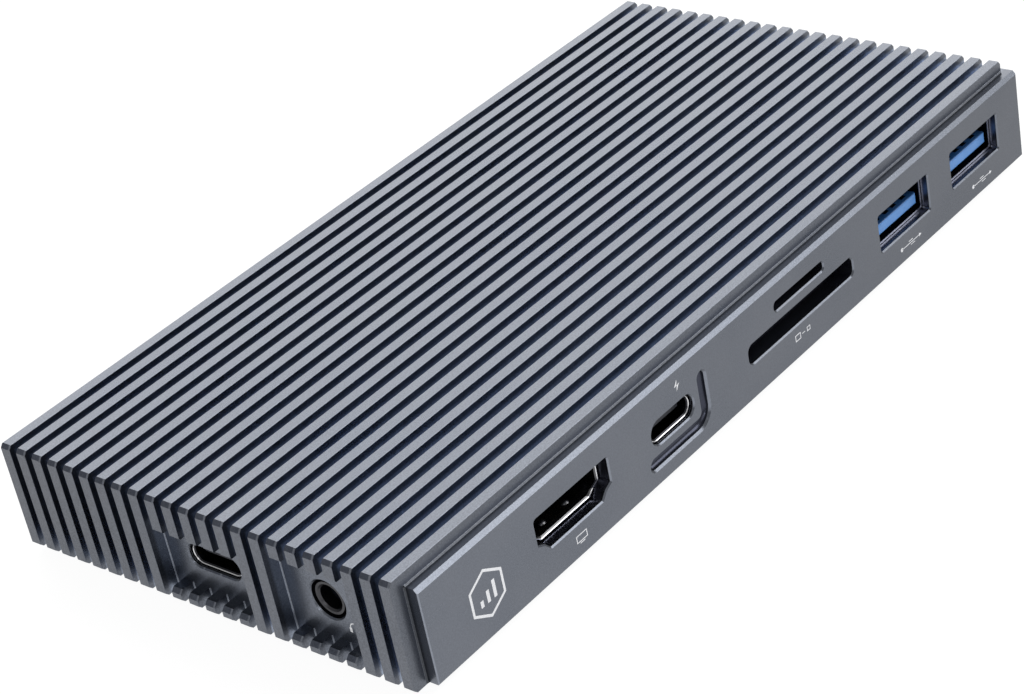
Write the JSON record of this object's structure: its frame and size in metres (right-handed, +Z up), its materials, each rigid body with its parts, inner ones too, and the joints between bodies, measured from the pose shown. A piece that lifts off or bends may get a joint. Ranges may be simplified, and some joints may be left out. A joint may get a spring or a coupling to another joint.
{
  "type": "laptop docking station",
  "caption": "Flat finned aluminium laptop dock with USB, display, power, card and audio ports along one long side and one end.",
  "frame": {"origin": "under the middle of the bounding box, on the surface that the feet stand on", "axes": "+X along the long side, away from the end with the host and audio ports; the port plate faces -Y; +Z up"},
  "size_m": [0.1424, 0.0716, 0.0174],
  "materials": {
    "anodised_aluminium": "fine bead-blasted, grey anodised",
    "cover_aluminium": "fine bead-blasted, grey anodised",
    "bare_aluminium": "milled",
    "black_screw_steel": "black zinc",
    "foot_rubber": "matt",
    "solder_mask": "semi-gloss solder mask on glass laminate",
    "brass": "turned",
    "thermal_pad": "soft silicone",
    "crystal_can": "drawn can",
    "ferrite": "pressed ferrite",
    "capacitor_can": "drawn can",
    "ceramic": "fired ceramic",
    "black_plastic": "moulded",
    "blue_plastic": "moulded",
    "dark_nickel": "satin dark nickel plate",
    "gold_contact": "gold plated",
    "connector_steel": "nickel plated sheet",
    "chip_plastic": "moulded epoxy"
  },
  "bodies": {
    "root": {"audio_codec": "chip_plastic", "audio_jack_body": "black_plastic", "audio_jack_ring": "dark_nickel", "audio_jack_springs": "gold_contact", "board_screws": "black_screw_steel", "board_standoffs": "brass", "bottom_cover": "cover_aluminium", "bulk_capacitors": "capacitor_can", "card_controller": "chip_plastic", "card_riser_board": "solder_mask", "chip_capacitors": "ceramic", "cover_screws": "black_screw_steel", "crystals": "crystal_can", "display_bridge": "chip_plastic", "finned_housing": "anodised_aluminium", "front_plate": "anodised_aluminium", "hdmi_contacts": "gold_contact", "hdmi_insulator": "black_plastic", "hdmi_shell": "connector_steel", "heat_spreader": "bare_aluminium", "host_usb_c_contacts": "gold_contact", "host_usb_c_shell": "connector_steel", "host_usb_c_tongue": "black_plastic", "hub_controller": "chip_plastic", "main_board": "solder_mask", "micro_sd_socket_body": "black_plastic", "micro_sd_socket_lid": "connector_steel", "micro_sd_socket_springs": "gold_contact", "power_controller": "chip_plastic", "power_inductors": "ferrite", "power_usb_c_contacts": "gold_contact", "power_usb_c_shell": "connector_steel", "power_usb_c_tongue": "black_plastic", "riser_header": "black_plastic", "rubber_feet": "foot_rubber", "sd_socket_body": "black_plastic", "sd_socket_lid": "connector_steel", "sd_socket_springs": "gold_contact", "thermal_pads": "thermal_pad", "usb_a_1_contacts": "gold_contact", "usb_a_1_shell": "connector_steel", "usb_a_1_tongue": "blue_plastic", "usb_a_2_contacts": "gold_contact", "usb_a_2_shell": "connector_steel", "usb_a_2_tongue": "blue_plastic"}
  },
  "joints": []
}
